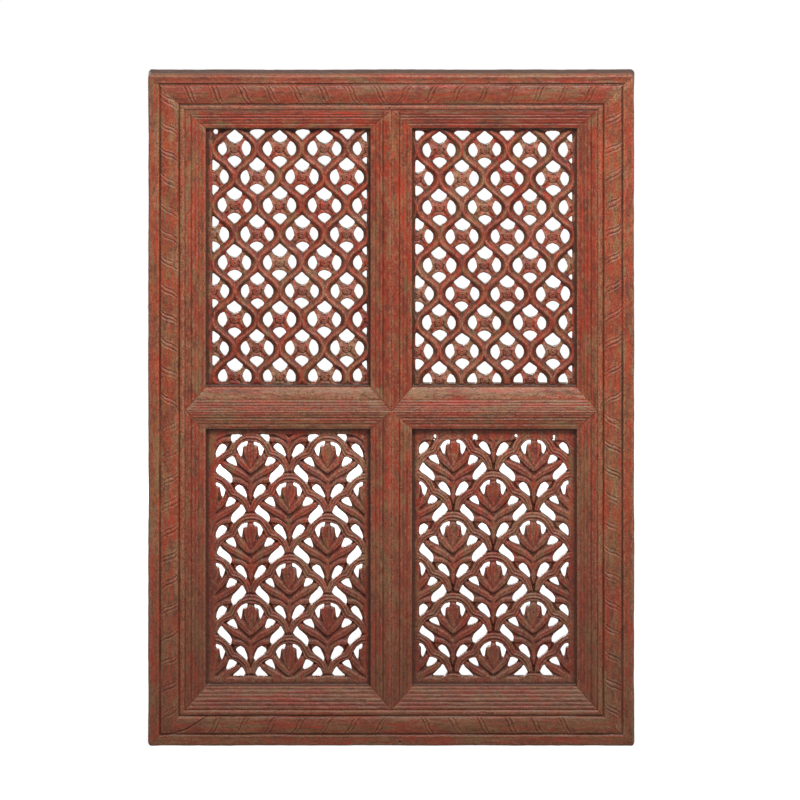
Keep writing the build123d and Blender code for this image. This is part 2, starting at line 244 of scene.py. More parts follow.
def sweep(name, side, rect, section, runs, step, relief, node, slot, material, seed):
    """Sweep a closed section (a, t, carved) along one side, mitred by the runs at its two ends."""
    start, inward, along, length = side_frame(side, rect)
    a, t, carved = np.array(section, float).T
    width = a.max()
    stations = int(length / step) + 1
    u = np.linspace(0, 1, stations)[:, None]
    first = a * runs[0] / width + MITRE_GAP
    last = length - a * runs[1] / width - MITRE_GAP
    s = first + u * (last - first)
    a, t = np.broadcast_to(a, s.shape).copy(), np.broadcast_to(t, s.shape).copy()
    carved = np.broadcast_to(carved, s.shape)
    t = t + carved * (relief(a, s, t, length) - t)
    # Crevices and crests of the relief: the paint puts dirt and painted shade in the crevices, and chalk
    # with a painted highlight on the crests
    cavity = np.clip(blur(t, 6) + 0.4 * blur(t, 2) - 1.4 * t, -1.5, 3)
    joint = np.minimum(s - first, last - s)
    dust, begin, spread = DUSTY.get(node, (0, 0, 0))
    patches = noise(a * 3, s, 60, seed + 7) + 0.3 * noise(a * 4, s, 12, seed + 6)
    dust = dust * smooth(begin, begin + 0.2, a / width) * smooth(0.3, 1.0, patches + spread)
    worn = smooth(20, 0, joint + 14 * noise(a, s, 16, seed + 9)) * smooth(0, 0.6, noise(a, s, 45, seed + 8))
    worn = np.where(dust < 0, worn + dust, np.maximum(worn, dust))
    outer = slot == "frame_wood"
    place = a
    if outer:
        wander = 0.7 + 0.5 * noise(s, 0 * s, 70, seed + 20) + 0.3 * noise(s, 0 * s, 14, seed + 21)
        place = a + wander * np.clip(1 - a / 12, 0, 1) * smooth(0, 30, joint)
    x = start[0] + place * inward[0] + s * along[0]
    z = start[1] + place * inward[1] + s * along[1]
    if outer:
        x, z = round_corners(x, z, rect, CORNER_R)
    points = np.stack([x, BACK_Y - t, z], -1).reshape(-1, 3)
    n = s.shape[1]
    index = np.arange(stations * n).reshape(stations, n)
    here, there = index[:-1], index[1:]
    quads = np.stack([here, there, np.roll(there, -1, 1), np.roll(here, -1, 1)], -1).reshape(-1, 4)
    caps = [index[0][None, :], index[-1][None, ::-1]]
    offset = np.random.default_rng(seed).uniform(0, 20, 3)
    grain = np.stack([s, a, t], -1).reshape(-1, 3) * MM + offset
    fields = {
        "grain": grain,
        "cavity": (cavity * carved).ravel(),
        "bare": (1 - carved).ravel(),
        "worn": (worn * carved).ravel(),
        "tone": height_tone(z, node, seed).ravel(),
    }
    make_piece(name, points, [quads] + caps, fields, node, material)


# ------------------------------------------------------------------ frame members
def band(side):
    """Middle and half width of the carved band of a member."""
    start = GROOVE_A[side] + 1.6
    return (start + CARVED_END) / 2, (CARVED_END - start) / 2


def member_section(side, step):
    """Closed section of a stile or rail, dense where it is carved."""
    across = np.arange(0.8, STRIP_A, step)
    t = EDGE_T - 3.6 * np.clip(1 - across / 6, 0, 1) ** 2.4 - 0.8 * np.clip(across / 18, 0, 1)
    middle, half = band(side)
    v = (across - middle) / half
    t = np.where(np.abs(v) < 1, EDGE_T - 0.6 + 2.4 * (1 - np.abs(v) ** 2.2), t)
    bead = 1 - ((across - sum(BEAD) / 2) / ((BEAD[1] - BEAD[0]) / 2)) ** 2
    t = np.where(across > BEAD[0] - 1, 46 + 3.2 * np.sqrt(np.clip(bead, 0, 1)), t)
    t -= 1.6 * hump(across, GROOVE_A[side], 1.8) + 1.3 * hump(across, GROOVE_IN, 1.5)
    t += 0.7 * hump(across, GROOVE_A[side] - 3.4, 1.8) - 1.8 * smooth(66.5, 69, across)
    front = [(a, h, 1) for a, h in zip(across, t)]
    outer = [
        (0.5, BACK_T, 0), (0, 1.2, 0), (0, 12, 0), (0, 24, 0), (0, 33, 0), (0, 39, 0.8), (0, 44.5, 1),
    ]
    inner = [
        (STRIP_A, 45.5, 0), (STRIP_A, 36, 0), (STRIP_A, LEDGE_T, 0), (REBATE_A, LEDGE_T, 0),
        (REBATE_A, LIP_T, 0), (MEMBER_W, LIP_T, 0), (MEMBER_W, BACK_T, 0), (80, BACK_T, 0),
        (40, BACK_T, 0),
    ]
    return outer + front + inner


# Pairs of carved slashes on each member, mirrored about a place near its middle: that place,
# then the offset of the first pair and the pitch, before it and after it
SLASHES = {
    "left": (650, 26, 52.3, 25, 49.6),
    "right": (645, 22, 50.3, 23, 53),
    "top": (454, 22.4, 50, 22.4, 50.9),
    "bottom": (478, 44, 51.2, 44, 51.7),
}
# Dents, (a, s, radius), and the crack in the bottom rail, (a, s, half width)
DENTS = {"top": [(64.8, 458, 2.4)], "bottom": [(8.5, 471, 2.4)]}
CRACK = [(20, 20, 0.5), (30, 66, 0.9), (39, 82, 1.4), (47, 94, 0.9), (58, 110, 0.5)]


def slash_places(side, length, rng):
    """Centre, lean and spacing of each pair of slashes on a member."""
    middle, before, before_pitch, after, after_pitch = SLASHES[side]
    near = 78 if side == "bottom" else 44
    places = []
    for sign, offset, pitch in ((-1, before, before_pitch), (1, after, after_pitch)):
        while near < middle + sign * offset < length - near:
            lean = -sign * rng.uniform(8.5, 12.5)
            places.append((middle + sign * (offset + rng.uniform(-2, 2)), lean, rng.uniform(7, 9.5)))
            offset += pitch
    return places


def member_relief(side, seed):
    """Relief of a stile or rail: its grooves and slashes, dents, crack and wear."""
    rng = np.random.default_rng(seed)
    middle, half = band(side)

    def relief(a, s, t, length):
        v = (a - middle) / half
        depth = smooth(-0.9, 0.5, noise(a, s, 55, seed + 7))
        change = -depth * (2.2 * hump(a, GROOVE_A[side], 1.7) + 1.4 * hump(a, GROOVE_IN, 1.5))
        within = smooth(1.02, 0.85, np.abs(v))
        for centre, lean, gap in slash_places(side, length, rng):
            swing = lean * (0.5 * v + 0.5 * v**3)
            for line in (-0.5, 0.5):
                wander = 1.6 * noise(a, s, 15, seed + int(centre + 3 * line))
                off = s - centre - swing - line * gap + wander
                fade = smooth(-0.9, 0.0, noise(a, s, 18, seed + 4 + int(centre + 5 * line)))
                change -= (0.6 + 1.1 * fade) * within * hump(off, 0, 1.6)
            change += 0.9 * within * hump(s - centre - swing, 0, gap * 0.32)
            change += 0.8 * within * hump(np.abs(s - centre - swing), gap * 0.5 + 3, 1.5)
        if side == "bottom":
            across, _ = stroke(a, s, CRACK)
            change -= 2.4 * np.clip(1.6 - np.abs(across), 0, 1)
        for da, ds, size in DENTS.get(side, []):
            change -= 3 * smooth(size, size * 0.5, np.hypot(a - da, s - ds))
        change += 0.5 * noise(a, s, 60, seed + 1) + 0.3 * noise(a, s, 9, seed + 2)
        change += 0.25 * noise(a * 5, s, 16, seed + 3) + 0.2 * noise(a, s, 3, seed + 5)
        return t + np.minimum(change, 0.6) - 0.5

    return relief


# ------------------------------------------------------------------ moulding strips
def strip_section(kind, width, step):
    """Closed section of a moulding: reeds stepping down to the panel."""
    across = np.arange(0.6, width - 0.4, step)
    t = STRIP_T[0] + (STRIP_T[1] - STRIP_T[0]) * (across / width) ** 1.15 - 0.4
    edges = [0, *(place for place, _ in REEDS[kind]), 1]
    for start, end in zip(edges, edges[1:]):
        v = (across / width - start) / (end - start) * 2 - 1
        swell = 0.6 + 2.6 * (end - start)
        t += np.where(np.abs(v) <= 1, swell * np.sqrt(np.clip(1 - v * v, 0, 1)), 0)
    for place, depth in REEDS[kind]:
        t -= depth * hump(across, place * width, 1.2)
    t -= 1.2 * hump(across, 0, 1.8)
    front = [(a, h, 1) for a, h in zip(across, t)]
    outer = [(0, LEDGE_T, 0), (0, 34, 0), (0, 43.5, 0.5)]
    inner = [(width, 33, 0.6), (width, 29, 0.3), (width, LEDGE_T, 0), (width / 2, LEDGE_T, 0)]
    return outer + front + inner


def strip_relief(place, side, seed):
    """Relief of a moulding: nicks and wear, and the round end of the bead between the panels."""
    def relief(a, s, t, length):
        if place.startswith("upper") and side == "top":
            middle = s if place == "upper_left" else length - s
            reed = REEDS["centre"][0][0] * STRIP_W["left"]
            v = middle / reed * 2 - 1
            round_end = smooth(1.5, 6, a)
            bead = STRIP_T[0] - 2 + 2.6 * np.sqrt(np.clip(1 - v * v, 0, 1))
            t = np.where(np.abs(v) < 1, t + (bead - t) * round_end, t)
            t = t - 1.5 * hump(middle, reed, 1.1) * round_end
        change = 0.35 * noise(a, s, 60, seed + 1) + 0.25 * noise(a * 2, s, 11, seed + 2)
        change += 0.3 * noise(a * 5, s, 24, seed + 3) + 0.18 * noise(a, s, 3, seed + 6) - 0.3
        nick = np.maximum(noise(a * 3, s, 22, seed + 5) - 0.62, 0)
        width = STRIP_W[side]
        joint = np.minimum(s - a * MITRES[side][0] / width, length - a * MITRES[side][1] / width - s)
        plain = STRIP_T[0] + 0.6 + (STRIP_T[1] - STRIP_T[0]) * (a / width) ** 1.15
        fade = smooth(9, 0, joint + 4 * noise(a, s, 9, seed + 4))
        fade = fade * (t < STRIP_T[0] + 2.4) * (a > 0) * (a < width)
        t = t + (plain - t) * 0.5 * fade
        return t + change - 3.5 * nick

    return relief


# ------------------------------------------------------------------ pierced panels
def mirror(points):
    """The same outline on the other side of a cell's centre line."""
    return [(-x, y) for x, y in points]


def whole(points):
    """A whole outline from its right half."""
    return points + [(-x, y) for x, y in reversed(points) if x]


# Openings round one flower, (across, down) from its centre
FLOWER_SIDE = [
    (19.5, -14.5), (26.5, -11), (31.5, -4), (31.8, 5.5), (28.5, 12.5), (22, 17), (17.5, 11),
    (13.2, 1.5), (15.5, -7),
]
FLOWER_HOLES = [
    whole([(0, -36.5), (7, -31), (14.5, -25.5), (15, -21), (9, -13), (0, -9)]),
    whole([(0, 13.5), (8, 16), (14, 22.5), (12, 27.5), (5, 33.5), (0, 37)]),
    FLOWER_SIDE,
    mirror(FLOWER_SIDE),
]
# Openings right of the centre line of one palmette, from the top of its arch: beside the bud,
# above and below the middle leaf, and beside the stem
PALMETTE_SIDE = [
    [
        (5.5, 11.5), (10, 12.5), (18, 17), (24.8, 27.5), (22, 35.5), (18.5, 42.5), (16, 40),
        (14.8, 31), (14, 23), (6.5, 20.5),
    ],
    [(32, 41.5), (38, 42.8), (46.5, 48.5), (42, 54), (33, 58.5), (25.5, 61), (27.5, 52)],
    [
        (56, 55.5), (61, 62), (64.5, 70), (60, 76), (50, 83), (40, 92), (36, 91), (35, 82),
        (39, 74), (47, 66.5), (53, 61),
    ],
    [
        (20.5, 93.5), (26.5, 97.5), (29, 102.5), (24, 109.5), (14, 117), (8, 122), (5.5, 118.5),
        (8.5, 108), (13.5, 98),
    ],
]
PALMETTE_HOLES = PALMETTE_SIDE + [mirror(hole) for hole in PALMETTE_SIDE]

# Strokes of one palmette, right of its centre line. A stroke is a line of (across, down, half
# width), the height of its crown, the fall to its edges, and its grooves: place, depth and width.
ARCH = [
    (-13, 4.2, 9.4), (0, 2.2, 9.6), (13, 4.2, 9.4), (23.5, 11.5, 9), (30.5, 21.5, 8.8),
    (35, 31.5, 8.6), (37.5, 34.5, 8.6), (46, 36.5, 8.6), (55, 41.5, 8.4), (62, 49.5, 8),
    (66, 59, 7.4), (68.3, 70, 6.6), (69.5, 82, 5.4),
]
STEM = [(0, 86, 6), (0, 100, 5.6), (0, 115, 5.6), (0, 130, 6.5)]
LOWER_LEAF = [(1, 108, 4), (6, 97, 5.5), (15, 89, 6.6), (25, 85.5, 7.2), (38, 86, 7)]
MIDDLE_LEAF = [(1, 87, 5.5), (13, 76.5, 8.4), (30, 67.5, 9.2), (46, 58, 7.6), (57, 49, 4.5)]
UPPER_LEAF = [(1, 69, 5.5), (12, 57.5, 8.4), (22, 46.5, 8.8), (32, 34, 6.5)]
BUD = [(0, 60, 2.5), (0, 49, 8.5), (0, 36, 14), (0, 22, 15), (0, 4, 10)]
STROKES = [
    (STEM, 21, 4.5, []),
    (LOWER_LEAF, 21.6, 6.5, [(0.1, 1.0, 0.2)]),
    (MIDDLE_LEAF, 22.8, 7.5, [(0.05, 1.9, 0.15)]),
    (UPPER_LEAF, 23.2, 7.5, [(0.1, 1.9, 0.15)]),
    (BUD, 22.4, 3.5, [(0, 0.7, 0.1), (0.42, 1.1, 0.1)]),
    (ARCH, 24.9, 5.5, [(-0.3, 4.0, 0.18), (0.36, 4.4, 0.18)]),
]

# Each panel's cells: width and row height, first cell from the opening's top left corner, and
# the plain border left, right, above and below
PANELS = {
    "upper_left": ((84, 54.5), (54, 42), (12.5, 6.5, 5, 6.5)),
    "upper_right": ((84.7, 55.1), (51, 44.5), (6, 8.5, 8, 3.5)),
    "lower_left": ((144, 77.5), (84, 15), (19, 11, 14, 16)),
    "lower_right": ((150, 77.4), (77, 11.5), (13.5, 15.5, 23.5, 16)),
}
# Odd holes near the top borders: centre from the opening's top left corner, half width and height
DRILLED = {
    "upper_left": [(18.7, 10.5, 4.4, 6)],
    "lower_right": [
        (42.8, 17.5, 2.8, 4.6), (118, 19, 4.6, 6.6), (194.3, 16.8, 3, 4.4), (265.4, 18.2, 2.4, 4.6),
    ],
}
GROUND_T, BORDER_T = 16.8, 21.5
# The ropes of the upper panels: how far they swing, as a share of a cell, and their half width,
# first where they bound the openings and then along their ridges
ROPE_SWING, RIDGE_SWING = 0.205, 0.236
ROPE_R, RIDGE_R = 5.7, 3.6


def waves(x, d, pitch, first, swing):
    """Distance to the nearest of the waving lines that close round the flowers."""
    wide, high = pitch
    nearest = np.full(x.shape, 1e9)
    turn = np.cos(math.pi * (d - first[1]) / high)
    for sign in (-1, 1):
        line = first[0] + sign * wide * (0.25 + swing * turn * (1.12 - 0.12 * turn**2))
        slope = swing * wide * math.pi / high * np.sqrt(1 - turn**2) * (1.12 - 0.36 * turn**2)
        off = (x - line + wide / 2 + 1000 * wide) % wide - wide / 2
        nearest = np.minimum(nearest, np.abs(off) / np.sqrt(1 + slope**2))
    return nearest


def flower_height(x, d):
    """Height of a four-petal flower with a drilled boss, and how pale its petals are: worn paint and a
    painted sheen.
    """
    r = np.hypot(x, d)
    side = np.abs(x)
    t = np.full(x.shape, 20.6) - 6.0 * smooth(15, 29, r)
    dish = np.hypot(side - 10.5, d + 11) / 6.5
    t += -2.4 * smooth(1.0, 0.1, dish) + 2.0 * hump(dish, 1.1, 0.22)
    fold = np.abs(side - d) / 1.41
    t += np.where(d > 0, 1.2 * hump(fold, 4.5, 1.8) - 1.8 * hump(fold, 0, 1.6), 0) * smooth(7, 10, r)
    t += 1.8 * smooth(8, 6, r) + 1.2 * smooth(4, 2.2, r)
    t += 2.2 * hump(np.hypot(side - 12.5, d), 0, 4)
    t -= 1.9 * hump(r, 8.4, 1.2) + 1.4 * hump(r, 4.6, 0.9)
    t -= 5 * smooth(2.0, 0.8, r)
    # Paler in the petal dishes and along the lower folds: worn paint and a painted sheen
    wear_and_highlight = smooth(1.1, 0.5, dish) + 0.5 * hump(fold, 4.5, 2) * (d > 0) * smooth(7, 10, r)
    return t, wear_and_highlight


def ribbed(across, top, fall, grooves):
    """Height across a stroke: shoulders that fall away, and grooves (place, depth, width)."""
    t = top - fall * np.abs(across) ** 2.3
    for place, depth, width in grooves:
        t = t - depth * hump(across, place, width)
    return t


def palmette_height(x, d):
    """Height of one arch with its palmette, 0 where there is none of it, and place across the arch."""
    height = np.zeros(x.shape)
    for line, top, fall, grooves in STROKES:
        across, _ = stroke(np.abs(x), d, line)
        t = np.where(np.abs(across) < 1, ribbed(across, top, fall, grooves), 0)
        if line is ARCH:
            height = np.where(np.abs(across) < 1, t, height - 2.5 * hump(across, 1.1, 0.2))
        height = np.maximum(height, t)
    return blur(height, 1), np.abs(across)


def opening_distance(x, d, outline, rng, at_border):
    """Signed distance to one opening, which hand work has moved, turned and sized a little."""
    shift = rng.uniform(-0.9, 0.9, 2)
    grow, lean = rng.uniform(0.94, 1.06), rng.uniform(-0.07, 0.07)
    points = np.array(outline)
    middle = points.mean(0)
    points = (points - middle) @ [[grow, lean], [-lean, grow]] + middle + shift
    if at_border:
        # Wider and lower where the top border cuts the flowers
        points = points * (1.3, 1) + (0, 3.5)
    return inside(x, d, points)


def carve_cells(place, x, d, wx, wd, width, height, rng):
    """Height, worn paint with painted highlights, flowers and distance to the openings, with one cell after
    another carved.
    """
    pitch, first, _ = PANELS[place]
    flowers = place.startswith("upper")
    t = np.full(x.shape, float(GROUND_T))
    wear_and_highlight = np.zeros(x.shape)
    body = np.zeros(x.shape, bool)
    holes = np.full(x.shape, 50.0)
    reach = (50, 48) if flowers else (82, 135)
    for row in range(-2, int(height / pitch[1]) + 2):
        layer = np.zeros(x.shape)
        arch = np.full(x.shape, 50.0)
        for column in range(-2, int(width / pitch[0]) + 2):
            cx, cd = first[0] + (column + row % 2 / 2) * pitch[0], first[1] + row * pitch[1]
            cols = np.nonzero(np.abs(x[0] - cx) < reach[0])[0]
            rows = np.nonzero((d[:, 0] > cd - min(reach[1], 48)) & (d[:, 0] < cd + reach[1]))[0]
            if not len(cols) or not len(rows):
                # A cell beyond the board takes its draws too
                rng.uniform(size=8)
                continue
            box = (slice(rows[0], rows[-1] + 1), slice(cols[0], cols[-1] + 1))
            lx, ld = wx[box] - cx, wd[box] - cd
            if flowers:
                turn = rng.uniform(-0.06, 0.06)
                fx = lx * math.cos(turn) - ld * math.sin(turn)
                fd = lx * math.sin(turn) + ld * math.cos(turn)
                local, pale = flower_height(fx, fd)
                petals = np.hypot(lx / 29, ld / 25) < 1
                body[box] |= petals
                local = np.where(petals, local, 0)
                # Petals paled a random amount: worn paint and a painted sheen
                wear_and_highlight[box] = np.maximum(wear_and_highlight[box], np.where(petals, pale * rng.uniform(0, 1), 0))
            else:
                local, across = palmette_height(lx, ld)
                arch[box] = np.minimum(arch[box], across)
            layer[box] = np.maximum(layer[box], local)
            for outline in FLOWER_HOLES if flowers else PALMETTE_HOLES:
                distance = opening_distance(lx, ld, outline, rng, flowers and row < 0)
                holes[box] = np.minimum(holes[box], distance)
        # Each row's arches lie in front of the row above
        t = np.where(arch < 1, layer, np.maximum(t - 3 * hump(arch, 1.1, 0.2), layer))
        if not flowers:
            # Thin pale lines along two ribs of each arch: worn paint and painted highlights
            rub_and_highlight = 0.6 * hump(arch, 0, 0.14) + 0.6 * hump(arch, 0.66, 0.11) - 0.15
            wear_and_highlight = np.where(arch < 1, rub_and_highlight, np.where(layer > 0, -0.3, wear_and_highlight))
    return t, wear_and_highlight, body, holes


def rope_lines(place, x, d, wx, wd, seed):
    """Distance to the middle lines of the ropes, at the openings and along the ridges."""
    pitch, first, _ = PANELS[place]
    rope = waves(wx, wd, pitch, first, ROPE_SWING) + 0.6 * noise(x, d, 14, seed + 9)
    ridge = waves(wx, wd, pitch, first, RIDGE_SWING) + 0.5 * noise(x, d, 12, seed + 9)
    return rope, ridge / (1 + 0.16 * noise(x, d, 11, seed + 12))


def panel_fields(place, x, d, width, height, seed):
    """Front height of the board, distance into its wood, worn paint with painted highlights, and soiling
    with painted shade on the rope flanks, at points of the opening.
    """
    left, right, above, below = PANELS[place][2]
    flowers = place.startswith("upper")
    wx = x + 0.9 * noise(x, d, 34, seed + 1) + 0.45 * noise(x, d, 11, seed + 2)
    wd = d + 0.9 * noise(x, d, 34, seed + 3) + 0.45 * noise(x, d, 11, seed + 4)
    rng = np.random.default_rng(seed)
    t, wear_and_highlight, body, holes = carve_cells(place, x, d, wx, wd, width, height, rng)
    flank_dirt_and_shade = np.zeros(x.shape)
    border = np.maximum(np.maximum(left - x, x - width + right), np.maximum(above - d, d - height + below))
    holes = np.maximum(holes, border)
    if flowers:
        rope, ridge = rope_lines(place, x, d, wx, wd, seed)
        holes = 0.5 * (holes + ROPE_R - rope + np.hypot(holes - ROPE_R + rope, 2))
        lattice = 23.4 - 2.4 * np.clip(ridge / RIDGE_R, 0, 1) ** 2
        lattice -= 4.6 * np.clip((ridge - RIDGE_R) / 5.5, 0, 1)
        t = np.where(ridge < RIDGE_R + 0.6, lattice, np.maximum(t, lattice))
        flank = smooth(RIDGE_R - 0.4, RIDGE_R + 1.6, ridge)
        # A thin pale line on the rope crests: worn paint and a painted highlight
        crown = hump(ridge, 0, 1.2) * smooth(-0.3, 0.5, noise(x, d, 22, seed + 15))
        wear_and_highlight = np.where(ridge < RIDGE_R + 1, 0.9 * crown - 0.35 * (1 - flank), np.where(body, wear_and_highlight, 0.2))
        # Dirt and painted shade on the rope flanks, outside the flowers
        flank_dirt_and_shade = flank * ~body
    if place == "upper_left":
        # Solid wood round the drilled hole in the corner
        holes = np.where((x < 30) & (d < 32), 20, holes)
    for cx, cd, rx, rd in DRILLED.get(place, []):
        holes = np.minimum(holes, (np.hypot((x - cx) / rx, (d - cd) / rd) - 1) * rx)
    holes = blur(holes, 1)
    frame_t = BORDER_T + 0.5 * noise(x, d, 25, seed + 5)
    t = t + (frame_t - t) * smooth(-3, 4, border + 1.5 * noise(x, d, 12, seed + 6))
    t += 0.4 * noise(x, d, 9, seed + 7) + 0.35 * noise(x, d, 4, seed + 8) - 0.5
    t -= 1.6 * np.clip(1 - holes / 2.2, 0, 1) ** 2
    if not flowers:
        wear_and_highlight = wear_and_highlight + smooth(45, 5, height - d + 14 * noise(x, d, 25, seed + 10))
    wear_and_highlight = wear_and_highlight + 0.5 * noise(x, d, 60, seed + 13) + 0.25 * noise(x, d, 20, seed + 14)
    return t, holes, wear_and_highlight, flank_dirt_and_shade


def trace_front(wood, fields):
    """Cut the grid's cells along the outline of the wood.

    Gives the fields at the corners in the wood and then where the outline crosses a grid line,
    the number of those corners, the front's polygons, and the outline as pairs of crossings.
    """
    solid = wood > 0
    inner = count = int(solid.sum())
    corner = np.full(solid.shape, -1)
    corner[solid] = np.arange(inner)
    stores = [[field[solid]] for field in fields]

    def crossings(first, second):
        nonlocal count
        cut = solid[first] != solid[second]
        index = np.full(cut.shape, -1)
        index[cut] = count + np.arange(cut.sum())
        count += int(cut.sum())
        w0, w1 = wood[first][cut], wood[second][cut]
        f = w0 / (w0 - w1)
        for store, field in zip(stores, fields):
            store.append(field[first][cut] * (1 - f) + field[second][cut] * f)
        return index

    every, before, after = slice(None), slice(None, -1), slice(1, None)
    level = crossings((every, before), (every, after))
    upright = crossings((before, every), (after, every))

    # The corners and edges of each cell in order round it, and which corners are wood
    corners = [corner[:-1, :-1], corner[1:, :-1], corner[1:, 1:], corner[:-1, 1:]]
    edges = [upright[:, :-1], level[1:, :], upright[:, 1:], level[:-1, :]]
    flags = [solid[:-1, :-1], solid[1:, :-1], solid[1:, 1:], solid[:-1, 1:]]
    code = sum(flag.astype(int) << k for k, flag in enumerate(flags))
    polygons = {}
    walls = []
    for case in range(1, 16):
        here = code == case
        if not here.any():
            continue
        bits = [case >> k & 1 for k in range(4)]
        ring, leave = [], []
        for k in range(4):
            if bits[k]:
                ring.append(corners[k][here])
            if bits[k] != bits[(k + 1) % 4]:
                ring.append(edges[k][here])
                leave.append((bits[k], edges[k][here]))
        polygon = np.stack(ring, -1)
        polygons.setdefault(polygon.shape[1], []).append(polygon)
        if len(leave) == 2:
            out, back_in = (leave[0][1], leave[1][1]) if leave[0][0] else (leave[1][1], leave[0][1])
            walls.append(np.stack([out, back_in], -1))
    front = [np.concatenate(group) for group in polygons.values()]
    return [np.concatenate(store) for store in stores], inner, front, np.concatenate(walls)


def flat_back(outline, walls, wood, xs, ds, step):
    """Triangles of the wood between the outlines, as numbers of the outline's points."""
    points = [Vector(point) for point in outline]
    links = [(int(i), int(j)) for i, j in walls]
    verts, _, faces, origins, _, _ = delaunay_2d_cdt(points, links, [], 0, 1e-4)
    verts = np.array([(v.x, v.y) for v in verts])
    faces = np.array([f for f in faces if len(f) == 3])
    centre = verts[faces].mean(1)
    column = np.clip(((centre[:, 0] - xs[0]) / step).astype(int), 0, len(xs) - 2)
    row = np.clip(((centre[:, 1] - ds[0]) / step).astype(int), 0, len(ds) - 2)
    fx = (centre[:, 0] - xs[column]) / step
    fd = (centre[:, 1] - ds[row]) / step
    depth = (
        wood[row, column] * (1 - fx) * (1 - fd) + wood[row, column + 1] * fx * (1 - fd)
        + wood[row + 1, column] * (1 - fx) * fd + wood[row + 1, column + 1] * fx * fd
    )
    to_outline = np.array([o[0] if o else -1 for o in origins])
    kept = faces[(depth > 0) & (to_outline[faces] >= 0).all(1)]
    back = to_outline[kept]
    ab, ac = verts[kept[:, 1]] - verts[kept[:, 0]], verts[kept[:, 2]] - verts[kept[:, 0]]
    turned = ab[:, 0] * ac[:, 1] - ab[:, 1] * ac[:, 0] < 0
    back[turned] = back[turned][:, ::-1]
    return back


def jali(place, step, material, seed):
    """One pierced board: carved front, walls of its openings, and flat back."""
    left, right, bottom, top = RECTS[place]
    open_left, open_top = left + STRIP_W["left"], top - STRIP_W["top"]
    width = right - STRIP_W["right"] - open_left
    height = open_top - bottom - STRIP_W["bottom"]
    low_x, high_x = left + REBATE - open_left, right - REBATE - open_left
    low_d, high_d = open_top - top + REBATE, open_top - bottom - REBATE
    xs = np.arange(low_x - step, high_x + 2 * step, step)
    ds = np.arange(low_d - step, high_d + 2 * step, step)
    x, d = np.meshgrid(xs, ds)
    t, wood, wear_and_highlight, flank_dirt_and_shade = panel_fields(place, x, d, width, height, seed)
    rim = np.minimum(np.minimum(x - low_x, high_x - x), np.minimum(d - low_d, high_d - d))
    from_edge = np.minimum(np.minimum(x, width - x), np.minimum(d, height - d))
    t = np.clip(t + (LEDGE_T - 0.2 - t) * smooth(2, -1, from_edge), 0, LEDGE_T - 0.1)
    wood = np.minimum(np.where(wood == 0, 1e-4, wood), rim)
    # Crevices and crests of the relief: dirt and painted shade in the crevices, chalk with a painted
    # highlight on the crests
    cavity = np.clip(blur(t, 7) + blur(t, 2) - 2 * t, -1.5, 3)
    # Also painted shade on the rope flanks, and a painted shadow of the mouldings along the board's edge
    cavity = cavity * (0.7 if place.startswith("upper") else 1.05) + flank_dirt_and_shade + 1.7 * smooth(13, 0, from_edge)

    # The outline again twice, for the top and the foot of the walls
    (px, pd, pt, cavity, wear_and_highlight), inner, front, walls = trace_front(wood, (x, d, t, cavity, wear_and_highlight))
    count = len(px)
    n = count - inner
    px, pd = (np.concatenate([p, p[inner:], p[inner:]]) for p in (px, pd))
    pt = np.concatenate([pt, pt[inner:], np.full(n, float(LIP_T))])
    cavity, wear_and_highlight = (np.concatenate([p, np.zeros(2 * n)]) for p in (cavity, wear_and_highlight))
    bare = np.concatenate([np.zeros(count), np.ones(2 * n)])
    a, b = walls[:, 0] + n, walls[:, 1] + n
    sides = np.stack([a, a + n, b + n, b], -1)
    outline = np.stack([px[count + n:], pd[count + n:]], -1)
    back = count + n + flat_back(outline, walls - inner, wood, xs, ds, step)

    points = np.stack([open_left + px, BACK_Y - pt, open_top - pd], -1)
    offset = np.random.default_rng(seed + 11).uniform(0, 20, 3)
    fields = {
        "grain": np.stack([pd, px, pt], -1) * MM + offset,
        "cavity": cavity,
        "bare": bare,
        # Worn paint, with the painted highlights of petals, arch ribs and rope crests
        "worn": wear_and_highlight,
        "tone": height_tone(open_top - pd, f"jali_{place}", seed),
    }
    name = f"jali_{place}_carved"
    make_piece(name, points, front + [sides, back], fields, f"jali_{place}", material)


